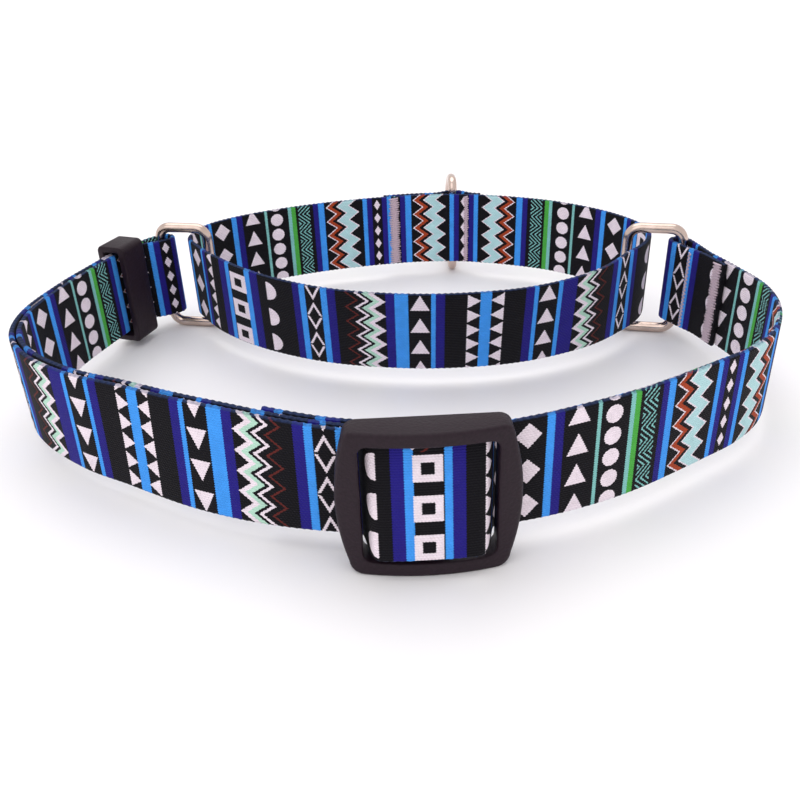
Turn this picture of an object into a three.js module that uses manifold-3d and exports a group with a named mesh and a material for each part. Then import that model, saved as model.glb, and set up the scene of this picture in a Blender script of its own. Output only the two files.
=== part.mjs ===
// Martingale collar in printed 25 mm webbing, with welded wire rings and a moulded adjuster.
// Millimetres, +Z up. It stands on the lower edges of its rings. The adjuster faces -Y and the leash ring +Y.
// The plan is drawn around a working origin, and the finished group is centred on its own box at the end.
import * as THREE from "three";
import { mergeVertices } from "three/addons/utils/BufferGeometryUtils.js";
import Module from "manifold-3d";

const wasm = await Module();
wasm.setup();

// Webbing
const WEB_WIDTH = 25;
const WEB_THICK = 1.3;
const LAYER_PITCH = 1.7;
const CUT_GAP = 0.3;

// Wire rings
const WIRE = 3;
const RING_HEIGHT = 34.5;
const RING_WIDTH = 18.5;
const RING_CORNER = 5;
const LEASH_RING_DEPTH = 22.5;
const LEASH_RING_LEG = 4;
const WIRE_SIDES = 10;
const WEB_BOTTOM = (RING_HEIGHT - WEB_WIDTH) / 2;

// Front of the neck strap: a circular arc. Angles are in degrees from -Y, positive towards +X.
const ARC_CENTRE = new THREE.Vector2(1.5, 20);
const ARC_RADIUS = 104.85;
const ARC_LEFT = -32;
const ARC_RIGHT = 32;
const ARC_LEAD = 6;
const SPINE_RADIUS = ARC_RADIUS - LAYER_PITCH / 2;

// Adjuster, in its own frame: x along the strap, y towards the wearer, with y = 0 on the frame's back plane
const ADJUSTER_ANGLE = 1.8;
const ADJUSTER_HEIGHT = 33.5;
const ADJUSTER_HALF_WIDTH = 16.25;
const ADJUSTER_BARREL = 2;
const ADJUSTER_CORNER = 3;
const ADJUSTER_DEPTH = 7;
const ADJUSTER_SIDE_DEPTH = 3.4;
const ADJUSTER_BACK_RADIUS = 106.2;
const WINDOW_WIDTH = 26.6;
const WINDOW_HEIGHT = 27.2;
const WINDOW_CORNER = 2;
const CENTRE_BAR_HALF = 2.2;
const CENTRE_BAR_FRONT = -2.6;
const CENTRE_BAR_BACK = -0.2;
const PASS_HALF = 15.5;
const PASS_RISE = 7.6;
const PASS_FLAT = 7.5;
const PASS_FOOT = 13.5;
const TAIL_LENGTH = 34;
const FOLD_LEAD = 12.5;

// Ring bars, seen from above. The A bars sit in the neck strap's folds, the B bars inside the control loop.
const LEFT_BAR_A = new THREE.Vector2(-72.9, 33);
const LEFT_RING_TURN = -11;
const RIGHT_BAR_A = new THREE.Vector2(84.2, 14);
const RIGHT_RING_TURN = 166.5;
const FOLD_RADIUS = 2.75;
const FOLD_SLACK = 0.5;

// Keeper round the doubled strap, on the stretch before the left ring
const KEEPER_LENGTH = 10;
const KEEPER_HEIGHT = 30.5;
const KEEPER_WALL = 1.9;
const KEEPER_SLOT = 5.2;
const KEEPER_SHIFT = 0.6;
const KEEPER_ALONG = 1.2;

// The neck strap's top edge leans towards the wearer, on the stretch left of the adjuster only.
const STRAP_LEAN = 4;
const LEAN_FROM = -92;
const LEAN_MOST = -40;
const LEAN_TO = -4;

// The control loop's front pass leans towards the adjuster at its top edge, most in the middle.
const LOOP_LEAN = 6;

// Pocket of the control loop that holds the leash ring's bar
const POCKET_BULGE = 3.2;
const POCKET_HALF = 6.8;
const BAR_OFFSET = WEB_THICK / 2 + CUT_GAP + WIRE / 2;
const TACK_WIDTH = 2.2;
const TACK_HEIGHT = 23.5;
const TACK_THICK = 0.5;
const TACK_GAP = 0.25;

const webbing = new THREE.MeshStandardMaterial({ color: 0x1b1a4a, roughness: 0.8, metalness: 0 });
const thread = new THREE.MeshStandardMaterial({ color: 0xb7b4c6, roughness: 0.85, metalness: 0 });
const plastic = new THREE.MeshStandardMaterial({ color: 0x1c1a1e, roughness: 0.55, metalness: 0 });
const wire = new THREE.MeshStandardMaterial({ color: 0xc9c4bd, roughness: 0.22, metalness: 1 });

const v2 = (x, y) => new THREE.Vector2(x, y);
const radians = THREE.MathUtils.degToRad;

function arcPoint(angle, radius) {
  const a = radians(angle);
  return v2(ARC_CENTRE.x + radius * Math.sin(a), ARC_CENTRE.y - radius * Math.cos(a));
}

// Plan of each neck strap side, midway between its two layers, from the front arc to the ring.
const LEFT_SPINE = [
  arcPoint(ARC_LEFT + ARC_LEAD, SPINE_RADIUS),
  arcPoint(ARC_LEFT, SPINE_RADIUS),
  v2(-61.2, -63.6),
  v2(-73, -56.6),
  v2(-85.6, -45.6),
  v2(-92.9, -34),
  v2(-94.8, -20),
  v2(-91.6, -3.5),
  v2(-87.6, 9),
  v2(-83.2, 21),
  v2(-78.5, 28.6),
  LEFT_BAR_A,
];
const LEFT_END_KNOT = 7;
const KEEPER_KNOT = 9;
const RIGHT_SPINE = [
  arcPoint(ARC_RIGHT - ARC_LEAD, SPINE_RADIUS),
  arcPoint(ARC_RIGHT, SPINE_RADIUS),
  v2(67, -61.8),
  v2(77.6, -54.8),
  v2(86.4, -45.6),
  v2(92.2, -33),
  v2(93.8, -20.5),
  v2(91.2, -8),
  v2(88, 3),
  RIGHT_BAR_A,
];
const RIGHT_END_KNOT = 7;

// Plan of the control loop, anticlockwise from its left turn
const LOOP = [
  v2(-63.8, 33),
  v2(-60.3, 25.5),
  v2(-52, 14),
  v2(-38, 2),
  v2(-20, -7.5),
  v2(0, -12.5),
  v2(18, -13.5),
  v2(36, -11),
  v2(54, -3.5),
  v2(66, 6),
  v2(73.8, 15),
  v2(77, 24),
  v2(75.5, 33),
  v2(68, 45),
  v2(55, 56.5),
  v2(42, 63.2),
  v2(30, 67.4),
  v2(21, 69.3),
  v2(9, 69.8),
  v2(-3, 68.6),
  v2(-20, 65.2),
  v2(-38, 59.2),
  v2(-53, 51.2),
  v2(-61.3, 43),
];
const FRONT_FROM = 2;
const FRONT_TO = 9;
const TURN_RIGHT_TO = 13;
const POCKET_FROM = 16;
const LEASH_KNOT = 17;
const POCKET_TO = 19;
const TURN_LEFT_FROM = 22;

const STEPS_PER_KNOT = 4;

function curveThrough(points, closed) {
  const spatial = points.map((p) => new THREE.Vector3(p.x, p.y, 0));
  return new THREE.CatmullRomCurve3(spatial, closed, "catmullrom", 0.5);
}

// The stretch of a smooth route between two of its knots
function stretch(points, from, to, closed = false) {
  const curve = curveThrough(points, closed);
  const spans = closed ? points.length : points.length - 1;
  const steps = (to - from) * STEPS_PER_KNOT;
  const route = [];
  for (let i = 0; i <= steps; i += 1) {
    const knot = from + (i * (to - from)) / steps;
    const p = curve.getPoint((closed ? knot % spans : knot) / spans);
    route.push(v2(p.x, p.y));
  }
  return route;
}

function arcRoute(from, to, radius) {
  const steps = Math.max(2, Math.round(Math.abs(to - from) / 2.5));
  const route = [];
  for (let i = 0; i <= steps; i += 1) {
    route.push(arcPoint(from + ((to - from) * i) / steps, radius));
  }
  return route;
}

// Unit vector to the left of the direction of travel at each point
function leftNormals(route) {
  return route.map((p, i) => {
    const before = route[Math.max(0, i - 1)];
    const after = route[Math.min(route.length - 1, i + 1)];
    const along = after.clone().sub(before).normalize();
    return v2(-along.y, along.x);
  });
}

function offset(route, distance) {
  const normals = leftNormals(route);
  return route.map((p, i) => {
    const d = typeof distance === "function" ? distance(p) : distance;
    return p.clone().addScaledVector(normals[i], d);
  });
}

// Both ends drawn back, so that neighbouring stretches of one webbing don't touch
function trimmed(route) {
  const ends = [
    [route[0], route[1]],
    [route[route.length - 1], route[route.length - 2]],
  ];
  const [first, last] = ends.map(([end, next]) => {
    const inward = next.clone().sub(end).setLength(CUT_GAP / 2);
    return end.clone().add(inward);
  });
  return [first, ...route.slice(1, -1), last];
}

function meshOf(name, geometry, material) {
  geometry.deleteAttribute("normal");
  geometry.deleteAttribute("uv");
  const welded = mergeVertices(geometry, 1e-4);
  welded.computeVertexNormals();
  const mesh = new THREE.Mesh(welded, material);
  mesh.name = name;
  return mesh;
}

function smooth(t) {
  const s = THREE.MathUtils.clamp(t, 0, 1);
  return s * s * (3 - 2 * s);
}

// How far the neck strap's top edge leans towards +Y at a plan x
function strapLean(x) {
  const t = x < LEAN_MOST ? (x - LEAN_FROM) / (LEAN_MOST - LEAN_FROM) : (LEAN_TO - x) / (LEAN_TO - LEAN_MOST);
  return STRAP_LEAN * smooth(t);
}

// A band standing on edge along a route, with an optional lean of its top edge
function ribbon(name, route, lean = null) {
  const cut = trimmed(route);
  const outline = [...offset(cut, WEB_THICK / 2), ...offset(cut, -WEB_THICK / 2).reverse()];
  const shape = new THREE.Shape(outline);
  const geometry = new THREE.ExtrudeGeometry(shape, { depth: WEB_WIDTH, bevelEnabled: false, steps: 1 });
  if (lean) {
    const position = geometry.attributes.position;
    for (let i = 0; i < position.count; i += 1) {
      const share = position.getZ(i) / WEB_WIDTH;
      position.setY(i, position.getY(i) + share * lean(position.getX(i)));
    }
  }
  geometry.translate(0, 0, WEB_BOTTOM);
  return meshOf(name, geometry, webbing);
}

// Round turn of the strap about a ring bar, from one layer to the other
function foldRoute(arriving, bar) {
  const end = arriving[arriving.length - 1];
  const along = bar.clone().sub(end).normalize();
  const left = v2(-along.y, along.x);
  const at = (s, t) => bar.clone().addScaledVector(along, s).addScaledVector(left, t);
  const shoulder = FOLD_RADIUS * 0.8;
  const route = [at(-FOLD_RADIUS - 0.6, shoulder)];
  for (let i = 0; i <= 8; i += 1) {
    const a = Math.PI / 2 - (i * Math.PI) / 8;
    route.push(at(FOLD_SLACK + FOLD_RADIUS * Math.cos(a), FOLD_RADIUS * Math.sin(a)));
  }
  route.push(at(-FOLD_RADIUS - 0.6, -shoulder));
  return route;
}

// A strap end that comes along the left of its spine, turns round the bar and goes back along the right.
// A negative side swaps the layers.
function foldedEnd(name, spine, bar, side) {
  const half = (side * LAYER_PITCH) / 2;
  const turn = foldRoute(spine, bar);
  const going = offset(spine, half);
  const coming = offset(spine, -half).reverse();
  return ribbon(name, [...going, ...(side > 0 ? turn : turn.reverse()), ...coming]);
}

// A closed wire loop: a torus whose ring is laid along a list of stations in a plane
function wireLoop(name, stations) {
  const torus = new THREE.TorusGeometry(2 * WIRE, WIRE / 2, WIRE_SIDES, stations.length);
  const position = torus.attributes.position;
  for (let i = 0; i < position.count; i += 1) {
    const x = position.getX(i);
    const y = position.getY(i);
    const turn = (Math.atan2(y, x) / (2 * Math.PI) + 1) % 1;
    const station = stations[Math.round(turn * stations.length) % stations.length];
    const outward = Math.hypot(x, y) - 2 * WIRE;
    const across = position.getZ(i);
    position.setXYZ(i, station.x + outward * station.nx, -across, station.z + outward * station.nz);
  }
  return meshOf(name, torus, wire);
}

// Stations anticlockwise round a corner whose centre is (x, z), in the plane of the loop
function corner(x, z, radiusX, radiusZ, from, to, count) {
  const stations = [];
  for (let i = 0; i <= count; i += 1) {
    const a = radians(from + ((to - from) * i) / count);
    const n = v2(radiusZ * Math.cos(a), radiusX * Math.sin(a)).normalize();
    stations.push({ x: x + radiusX * Math.cos(a), z: z + radiusZ * Math.sin(a), nx: n.x, nz: n.y });
  }
  return stations;
}

// Rectangular ring in the XZ plane, with its first bar on the Z axis and its second at +X
function rectangularRing(name) {
  const r = RING_CORNER - WIRE / 2;
  const right = RING_WIDTH - WIRE - r;
  const top = RING_HEIGHT - WIRE / 2 - r;
  const bottom = WIRE / 2 + r;
  return wireLoop(name, [
    ...corner(right, top, r, r, 0, 90, 5),
    ...corner(r, top, r, r, 90, 180, 5),
    ...corner(r, bottom, r, r, 180, 270, 5),
    ...corner(right, bottom, r, r, 270, 360, 5),
  ]);
}

// D-shaped ring in the XZ plane, with its straight bar on the Z axis and its bow at +X
function leashRing(name) {
  const r = WIRE;
  const middle = RING_HEIGHT / 2;
  const half = middle - WIRE / 2;
  const reach = LEASH_RING_DEPTH - WIRE - LEASH_RING_LEG;
  const bow = corner(LEASH_RING_LEG, middle, reach, half, -90, 90, 20);
  return wireLoop(name, [
    ...bow,
    ...corner(r, RING_HEIGHT - WIRE / 2 - r, r, r, 90, 180, 4),
    ...corner(r, WIRE / 2 + r, r, r, 180, 270, 4),
  ]);
}

function placedRing(ring, bar, turn) {
  ring.position.set(bar.x, bar.y, 0);
  ring.rotation.z = radians(turn);
  return ring;
}

function roundedRectangle(target, halfWidth, halfHeight, radius) {
  target.moveTo(-halfWidth + radius, -halfHeight);
  target.lineTo(halfWidth - radius, -halfHeight);
  target.absarc(halfWidth - radius, -halfHeight + radius, radius, -Math.PI / 2, 0, false);
  target.absarc(halfWidth - radius, halfHeight - radius, radius, 0, Math.PI / 2, false);
  target.absarc(-halfWidth + radius, halfHeight - radius, radius, Math.PI / 2, Math.PI, false);
  target.absarc(-halfWidth + radius, -halfHeight + radius, radius, Math.PI, 1.5 * Math.PI, false);
  return target;
}

function extruded(shape, depth, curveSegments) {
  return new THREE.ExtrudeGeometry(shape, { depth, bevelEnabled: false, curveSegments });
}

function keeper(name) {
  const shape = roundedRectangle(new THREE.Shape(), KEEPER_SLOT / 2 + KEEPER_WALL, KEEPER_HEIGHT / 2, 1.6);
  const slotHalfHeight = KEEPER_HEIGHT / 2 - KEEPER_WALL;
  shape.holes.push(roundedRectangle(new THREE.Path(), KEEPER_SLOT / 2, slotHalfHeight, 0.8));
  const geometry = extruded(shape, KEEPER_LENGTH, 4);
  geometry.translate(0, 0, -KEEPER_LENGTH / 2);
  geometry.rotateX(Math.PI / 2);
  const mesh = meshOf(name, geometry, plastic);
  const knot = LEFT_SPINE[KEEPER_KNOT];
  const along = knot.clone().sub(LEFT_SPINE[KEEPER_KNOT - 1]).normalize();
  const inward = v2(along.y, -along.x);
  const at = knot.clone().addScaledVector(along, KEEPER_ALONG).addScaledVector(inward, KEEPER_SHIFT);
  mesh.position.set(at.x, at.y, RING_HEIGHT / 2);
  mesh.rotation.z = Math.atan2(-along.x, along.y);
  return mesh;
}

function solidOf(geometry) {
  geometry.deleteAttribute("normal");
  geometry.deleteAttribute("uv");
  const welded = mergeVertices(geometry, 1e-4);
  const index = welded.index ?? new THREE.BufferAttribute(new Uint32Array(0), 1);
  const data = new wasm.Mesh({
    numProp: 3,
    vertProperties: new Float32Array(welded.attributes.position.array),
    triVerts: new Uint32Array(index.array),
  });
  return new wasm.Manifold(data);
}

function geometryOf(solid) {
  const data = solid.getMesh();
  const geometry = new THREE.BufferGeometry();
  geometry.setAttribute("position", new THREE.Float32BufferAttribute(data.vertProperties, 3));
  geometry.setIndex(new THREE.Uint32BufferAttribute(data.triVerts, 1));
  return geometry;
}

// Outline of the adjuster seen from the front: level top and bottom, sides bowed outwards
function adjusterOutline() {
  const w = ADJUSTER_HALF_WIDTH;
  const h = ADJUSTER_HEIGHT / 2;
  const c = ADJUSTER_CORNER;
  const bow = w + 2 * ADJUSTER_BARREL;
  const shape = new THREE.Shape();
  shape.moveTo(-w + c, -h);
  shape.lineTo(w - c, -h);
  shape.quadraticCurveTo(w - 0.3, -h, w, -h + c);
  shape.quadraticCurveTo(bow, 0, w, h - c);
  shape.quadraticCurveTo(w - 0.3, h, w - c, h);
  shape.lineTo(-w + c, h);
  shape.quadraticCurveTo(-w + 0.3, h, -w, h - c);
  shape.quadraticCurveTo(-bow, 0, -w, -h + c);
  shape.quadraticCurveTo(-w + 0.3, -h, -w + c, -h);
  return shape;
}

// The frame is a flat-backed slab with a rounded front face, one window and a bar down its middle.
function adjusterFrame(name) {
  const outline = adjusterOutline();
  outline.holes.push(roundedRectangle(new THREE.Path(), WINDOW_WIDTH / 2, WINDOW_HEIGHT / 2, WINDOW_CORNER));
  const slab = extruded(outline, 2 * ADJUSTER_DEPTH, 8);
  slab.rotateX(Math.PI / 2);
  slab.translate(0, ADJUSTER_DEPTH, 0);

  const reach = ADJUSTER_HALF_WIDTH + 2 * ADJUSTER_BARREL;
  const side = new THREE.Shape();
  side.moveTo(-reach, 0);
  side.lineTo(-reach, -ADJUSTER_SIDE_DEPTH);
  const crown = -2 * ADJUSTER_DEPTH + ADJUSTER_SIDE_DEPTH;
  side.quadraticCurveTo(0, crown, reach, -ADJUSTER_SIDE_DEPTH);
  side.lineTo(reach, 0);
  const lens = extruded(side, ADJUSTER_HEIGHT + 2, 16);
  lens.translate(0, 0, -ADJUSTER_HEIGHT / 2 - 1);

  const barDepth = CENTRE_BAR_BACK - CENTRE_BAR_FRONT;
  const bar = new THREE.BoxGeometry(2 * CENTRE_BAR_HALF, barDepth, ADJUSTER_HEIGHT - 2);
  bar.translate(0, (CENTRE_BAR_BACK + CENTRE_BAR_FRONT) / 2, 0);

  const frame = solidOf(slab).intersect(solidOf(lens)).add(solidOf(bar));
  const geometry = geometryOf(frame);
  geometry.translate(0, -ADJUSTER_BACK_RADIUS, ADJUSTER_HEIGHT / 2);
  return meshOf(name, geometry, plastic);
}

// Point of the adjuster's own frame: x along the arc from the adjuster's middle, radius from the arc's centre
function adjusterPoint(x, radius) {
  const a = x / ARC_RADIUS;
  return v2(radius * Math.sin(a), -radius * Math.cos(a));
}

// The neck strap runs behind both side bars and rises over the centre bar.
function passRoute() {
  const route = [];
  const steps = 36;
  for (let i = 0; i <= steps; i += 1) {
    const x = PASS_HALF - (2 * PASS_HALF * i) / steps;
    const rise = PASS_RISE * smooth((PASS_FOOT - Math.abs(x)) / (PASS_FOOT - PASS_FLAT));
    route.push(adjusterPoint(x, ARC_RADIUS + rise));
  }
  return route;
}

// The strap's inner layer ends in a loop round the centre bar and a tail sewn back on itself.
function endFoldRoute() {
  const inner = ARC_RADIUS - LAYER_PITCH;
  const middle = (CENTRE_BAR_FRONT + CENTRE_BAR_BACK) / 2;
  const radius = (CENTRE_BAR_BACK - CENTRE_BAR_FRONT) / 2 + CUT_GAP + WEB_THICK / 2;
  const at = (x, y) => v2(x, y - ADJUSTER_BACK_RADIUS);
  const lead = [
    adjusterPoint(-PASS_HALF - 3, inner),
    adjusterPoint(-PASS_HALF, inner),
    adjusterPoint(-FOLD_LEAD, inner),
    at(-10.2, 2.4),
    at(-8.2, 0.7),
    at(-6.2, -1.5),
    at(-4.4, -3.1),
    at(-CENTRE_BAR_HALF, middle - radius),
  ];
  const round = [];
  for (let i = 0; i <= 8; i += 1) {
    const a = -Math.PI / 2 + (i * Math.PI) / 8;
    round.push(at(CENTRE_BAR_HALF + radius * Math.cos(a), middle + radius * Math.sin(a)));
  }
  const back = [
    at(CENTRE_BAR_HALF, middle + radius),
    at(-2, 1.1),
    at(-6, 2.7),
    at(-9.5, 4.6),
    adjusterPoint(-FOLD_LEAD - 1, inner - LAYER_PITCH),
    adjusterPoint(-PASS_HALF - 3, inner - LAYER_PITCH),
  ];
  const tail = [];
  for (let i = 1; i <= 4; i += 1) {
    const x = -PASS_HALF - 3 - ((TAIL_LENGTH - PASS_HALF - 3) * i) / 4;
    tail.push(adjusterPoint(x, inner - LAYER_PITCH));
  }
  const going = stretch(lead, 1, lead.length - 1);
  const coming = stretch(back, 0, back.length - 1);
  return [...going, ...round.slice(1, -1), ...coming, ...tail];
}

// A sewn bar-tack: a flat block of thread on the face of a strap, at a point of a route.
// It leans as its strap does.
function barTack(name, route, index, distance, lean = null) {
  const normals = leftNormals(route);
  const at = route[index].clone().addScaledVector(normals[index], distance);
  const block = new THREE.BoxGeometry(TACK_WIDTH, TACK_THICK, TACK_HEIGHT);
  if (lean) {
    const position = block.attributes.position;
    for (let i = 0; i < position.count; i += 1) {
      const share = position.getZ(i) / WEB_WIDTH + 0.5;
      position.setY(i, position.getY(i) + share * lean(at.x) * normals[index].y);
    }
  }
  const mesh = meshOf(name, block, thread);
  mesh.position.set(at.x, at.y, RING_HEIGHT / 2);
  mesh.rotation.z = Math.atan2(-normals[index].x, normals[index].y);
  return mesh;
}

const TACK_OFFSET = WEB_THICK / 2 + TACK_GAP + TACK_THICK / 2;

function buildAdjuster() {
  const group = new THREE.Group();
  const endFold = endFoldRoute();
  const lean = (x) => strapLean(x + ARC_CENTRE.x);
  group.add(adjusterFrame("adjuster_frame"));
  group.add(ribbon("neck_strap_pass", passRoute(), lean));
  group.add(ribbon("neck_strap_end_fold", endFold, lean));
  group.add(barTack("end_fold_bartack", endFold, endFold.length - 3, -TACK_OFFSET, lean));
  group.position.set(ARC_CENTRE.x, ARC_CENTRE.y, 0);
  group.rotation.z = radians(ADJUSTER_ANGLE);
  return group;
}

function buildNeckStrap() {
  const group = new THREE.Group();
  const passAngle = THREE.MathUtils.radToDeg(PASS_HALF / ARC_RADIUS);
  const leftEdge = ADJUSTER_ANGLE - passAngle;
  const rightEdge = ADJUSTER_ANGLE + passAngle;
  const inner = ARC_RADIUS - LAYER_PITCH;
  group.add(ribbon("neck_strap_right_front", arcRoute(rightEdge, ARC_RIGHT, ARC_RADIUS)));
  group.add(ribbon("neck_strap_left_front_outer", arcRoute(leftEdge, ARC_LEFT, ARC_RADIUS), strapLean));
  group.add(ribbon("neck_strap_left_front_inner", arcRoute(leftEdge, ARC_LEFT, inner), strapLean));

  const rightSide = stretch(RIGHT_SPINE, 1, RIGHT_END_KNOT);
  const rightEnd = stretch(RIGHT_SPINE, RIGHT_END_KNOT, RIGHT_SPINE.length - 2);
  group.add(ribbon("neck_strap_right_side", offset(rightSide, -LAYER_PITCH / 2)));
  group.add(foldedEnd("neck_strap_right_fold", rightEnd, RIGHT_BAR_A, -1));
  group.add(barTack("right_fold_bartack", rightEnd, 2, LAYER_PITCH / 2 + TACK_OFFSET));

  const leftSide = stretch(LEFT_SPINE, 1, LEFT_END_KNOT);
  const leftEnd = stretch(LEFT_SPINE, LEFT_END_KNOT, LEFT_SPINE.length - 2);
  group.add(ribbon("neck_strap_left_side_outer", offset(leftSide, LAYER_PITCH / 2), strapLean));
  group.add(ribbon("neck_strap_left_side_inner", offset(leftSide, -LAYER_PITCH / 2), strapLean));
  group.add(foldedEnd("neck_strap_left_fold", leftEnd, LEFT_BAR_A, 1));
  return group;
}

function loopLean(x) {
  const from = LOOP[FRONT_FROM].x;
  const to = LOOP[FRONT_TO].x;
  const u = (2 * (x - from)) / (to - from) - 1;
  return -LOOP_LEAN * Math.max(0, 1 - u * u);
}

// The outer layer of the pocket bulges round the leash ring's bar.
function pocketOffset(p) {
  const u = THREE.MathUtils.clamp((p.x - LOOP[LEASH_KNOT].x) / POCKET_HALF, -1, 1);
  return -(LAYER_PITCH + (POCKET_BULGE * (1 + Math.cos(Math.PI * u))) / 2);
}

function buildControlLoop() {
  const group = new THREE.Group();
  const leftTurn = stretch(LOOP, TURN_LEFT_FROM, LOOP.length + FRONT_FROM, true);
  const pocket = stretch(LOOP, POCKET_FROM, POCKET_TO, true);
  group.add(ribbon("control_loop_front", stretch(LOOP, FRONT_FROM, FRONT_TO, true), loopLean));
  group.add(ribbon("control_loop_right_turn", stretch(LOOP, FRONT_TO, TURN_RIGHT_TO, true)));
  group.add(ribbon("control_loop_back_right", stretch(LOOP, TURN_RIGHT_TO, POCKET_FROM, true)));
  group.add(ribbon("leash_pocket_inner", pocket));
  group.add(ribbon("leash_pocket_outer", offset(pocket, pocketOffset)));
  group.add(ribbon("control_loop_back_left", stretch(LOOP, POCKET_TO, TURN_LEFT_FROM, true)));
  group.add(ribbon("control_loop_left_turn", leftTurn));
  group.add(barTack("pocket_bartack_right", pocket, 1, TACK_OFFSET));
  group.add(barTack("pocket_bartack_left", pocket, pocket.length - 2, TACK_OFFSET));
  return group;
}

function buildRings() {
  const group = new THREE.Group();
  const leash = LOOP[LEASH_KNOT].clone().add(v2(0, BAR_OFFSET));
  group.add(placedRing(rectangularRing("left_ring"), LEFT_BAR_A, LEFT_RING_TURN));
  group.add(placedRing(rectangularRing("right_ring"), RIGHT_BAR_A, RIGHT_RING_TURN));
  group.add(placedRing(leashRing("leash_ring"), leash, 90));
  return group;
}

const collar = new THREE.Group();
collar.add(buildAdjuster(), buildNeckStrap(), keeper("strap_keeper"), buildControlLoop(), buildRings());
collar.updateMatrixWorld(true);

const box = new THREE.Box3().setFromObject(collar, true);
collar.position.set(-(box.min.x + box.max.x) / 2, -(box.min.y + box.max.y) / 2, -box.min.z);

export default collar;
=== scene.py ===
"""Looks of the martingale collar: printed webbing, moulded adjuster and keeper, wire rings and sewn tacks.

Plan points and sizes are millimetres in the drawing's own plan, and place() turns them into the row frame.
"""
import math
import random

import bpy
from mathutils import Matrix, Vector


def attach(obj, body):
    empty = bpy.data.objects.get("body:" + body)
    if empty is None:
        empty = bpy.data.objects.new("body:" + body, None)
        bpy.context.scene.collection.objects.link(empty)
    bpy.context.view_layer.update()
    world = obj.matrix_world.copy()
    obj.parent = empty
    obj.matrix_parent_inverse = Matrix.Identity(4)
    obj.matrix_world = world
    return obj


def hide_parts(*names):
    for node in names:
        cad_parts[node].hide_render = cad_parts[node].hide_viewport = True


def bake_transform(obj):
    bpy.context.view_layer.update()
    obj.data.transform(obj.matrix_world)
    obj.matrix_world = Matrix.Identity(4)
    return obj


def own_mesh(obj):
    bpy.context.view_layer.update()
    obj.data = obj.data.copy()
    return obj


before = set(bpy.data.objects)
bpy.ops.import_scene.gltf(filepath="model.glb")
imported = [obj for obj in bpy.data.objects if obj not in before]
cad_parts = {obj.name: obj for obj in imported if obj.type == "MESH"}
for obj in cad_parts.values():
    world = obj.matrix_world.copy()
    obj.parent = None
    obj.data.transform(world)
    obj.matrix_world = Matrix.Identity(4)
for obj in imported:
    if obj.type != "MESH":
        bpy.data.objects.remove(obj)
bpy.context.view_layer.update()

MM = 0.001
PLAN_SHIFT = (0.5055, 0.2087)
MID_HEIGHT = 17.25

# ---------------------------------------------------------------- sizes
# These are the CAD's own, unless a comment says otherwise.
WEB_WIDTH = 25.0
WEB_THICK = 1.3
LAYER_PITCH = 1.7
WIRE = 3.0
ARC_CENTRE = (1.5, 20.0)
ARC_RADIUS = 104.85
ARC_SPREAD = 32.0
SPINE_RADIUS = ARC_RADIUS - LAYER_PITCH / 2
ADJUSTER_ANGLE = 1.8
ADJUSTER_HALF_HEIGHT = 16.75
ADJUSTER_HALF_WIDTH = 16.25
ADJUSTER_BOW = 20.25
WINDOW_HALF = (13.3, 13.6)
WINDOW_CORNER = 2.0
CENTRE_BAR_HALF_HEIGHT = 15.4  # a little short of the CAD's, hidden in the frame
ADJUSTER_BACK_RADIUS = 106.2
PASS_HALF = 15.5
PASS_RISE = 7.6
# The pass is flatter and steeper than the CAD's 7.5 and 13.5, so that the strap fills the window.
PASS_FLAT = 9.5
PASS_FOOT = 13.4
FOLD_LEAD = 12.5
TAIL_LENGTH = 34.0
BAR_HALF = 2.2
BAR_FRONT = -2.6
BAR_BACK = -0.2
FOLD_RADIUS = 2.75
FOLD_SLACK = 1.1  # looser than the CAD's
LEFT_BAR = (-72.9, 33.0)
LEFT_RING_TURN = -11.0
RIGHT_BAR = (84.2, 14.0)
RIGHT_RING_TURN = 166.5
LOOP_LEAN = 6.0
STRAP_LEAN = 4.0
LEAN_FROM, LEAN_MOST, LEAN_TO = -92.0, -40.0, -4.0
RIGHT_LEAN = 1.2  # not in the CAD
RIGHT_LEAN_FROM, RIGHT_LEAN_MOST, RIGHT_LEAN_TO = 14.0, 40.0, 88.0
POCKET_BULGE = 3.2
POCKET_HALF = 6.8
LEASH_BAR_OFFSET = WEB_THICK / 2 + 0.3 + WIRE / 2


def arc_point(angle, radius):
    a = math.radians(angle)
    return (ARC_CENTRE[0] + radius * math.sin(a), ARC_CENTRE[1] - radius * math.cos(a))


LEFT_SPINE = [
    arc_point(-ARC_SPREAD + 6, SPINE_RADIUS), arc_point(-ARC_SPREAD, SPINE_RADIUS),
    (-61.2, -63.6), (-73, -56.6), (-85.6, -45.6), (-92.9, -34), (-94.8, -20), (-91.6, -3.5),
    (-87.6, 9), (-83.2, 21), (-78.5, 28.6), LEFT_BAR,
]
RIGHT_SPINE = [
    arc_point(ARC_SPREAD - 6, SPINE_RADIUS), arc_point(ARC_SPREAD, SPINE_RADIUS),
    (67, -61.8), (77.6, -54.8), (86.4, -45.6), (92.2, -33), (93.8, -20.5), (91.2, -8),
    (88, 3), RIGHT_BAR,
]
END_KNOT = 7
LEFT_LAST = len(LEFT_SPINE) - 2
RIGHT_LAST = len(RIGHT_SPINE) - 2
LOOP = [
    (-63.8, 33), (-60.3, 25.5), (-52, 14), (-38, 2), (-20, -7.5), (0, -12.5), (18, -13.5), (36, -11),
    (54, -3.5), (66, 6), (73.8, 15), (77, 24), (75.5, 33), (68, 45), (55, 56.5), (42, 63.2),
    (30, 67.4), (21, 69.3), (9, 69.8), (-3, 68.6), (-20, 65.2), (-38, 59.2), (-53, 51.2), (-61.3, 43),
]
LEASH_KNOT = 17


def place(x, y, z):
    """A plan point and height in millimetres, as a point of the row frame in metres."""
    return Vector(((x + PLAN_SHIFT[0]) * MM, (y + PLAN_SHIFT[1]) * MM, z * MM))


# ---------------------------------------------------------------- routes
STEP = 0.4


def smooth(t):
    t = min(1.0, max(0.0, t))
    return t * t * (3 - 2 * t)


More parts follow.
